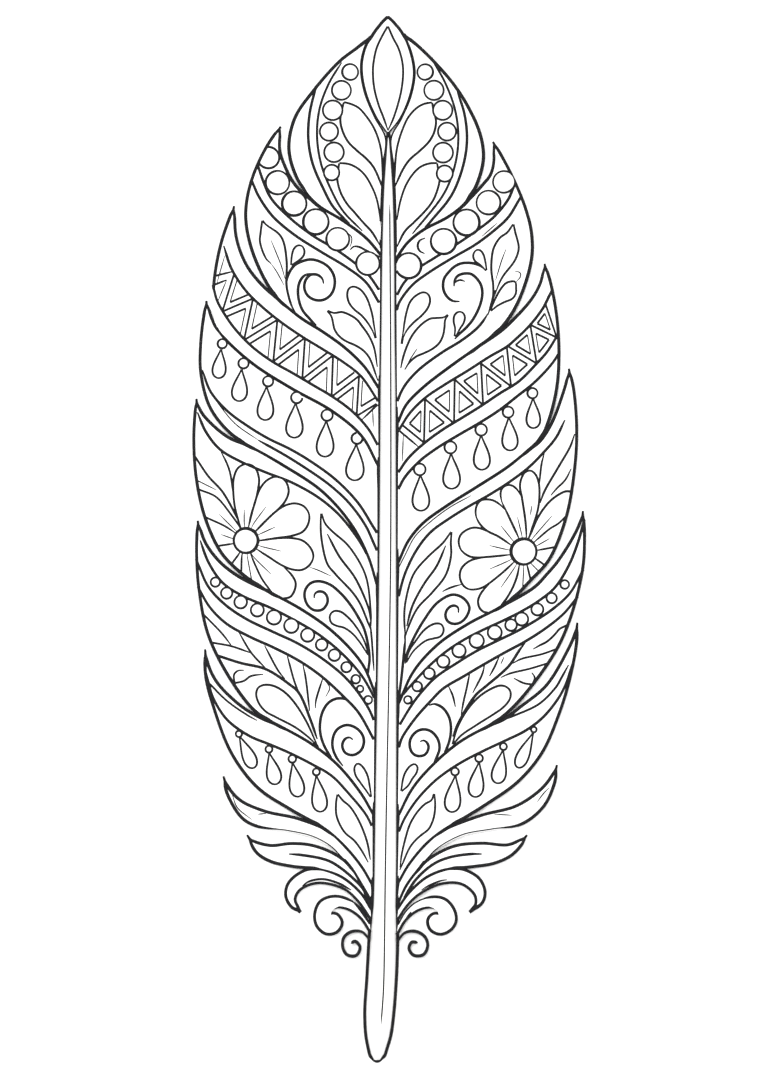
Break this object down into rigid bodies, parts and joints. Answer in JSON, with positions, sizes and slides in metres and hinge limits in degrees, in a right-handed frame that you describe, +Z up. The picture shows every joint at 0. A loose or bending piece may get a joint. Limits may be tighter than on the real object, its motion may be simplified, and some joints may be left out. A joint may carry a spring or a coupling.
{
  "type": "ornamental feather",
  "caption": "Flat ornamental feather: a straight quill with separate vane locks, plumes and curls, drawn over with raised black line ornament.",
  "frame": {"origin": "centre of the feather's outline on the surface it lies on, which is the quill's flat underside", "axes": "+Y along the quill to the feather's tip, +X to the right seen from above with the tip up, +Z up out of the decorated face"},
  "size_m": [0.1177, 0.3134, 0.0054],
  "materials": {
    "vane": "smooth white card with a faint barb grain",
    "quill": "smooth off-white card",
    "ink": "satin black raised ink"
  },
  "bodies": {
    "root": {"quill": "quill", "tip_petal": "vane", "crown_left": "vane", "crown_right": "vane", "lock_left_1": "vane", "lock_left_2": "vane", "lock_left_3": "vane", "lock_left_4": "vane", "lock_left_5": "vane", "lock_left_6": "vane", "plume_left_7": "vane", "plume_left_8": "vane", "lock_right_1": "vane", "lock_right_2": "vane", "lock_right_3": "vane", "lock_right_4": "vane", "lock_right_5": "vane", "plume_right_6": "vane", "plume_right_7": "vane", "curl_left_a": "vane", "curl_left_b": "vane", "curl_left_c": "ink", "curl_right_a": "vane", "curl_right_b": "vane", "curl_right_c": "ink"}
  },
  "joints": []
}
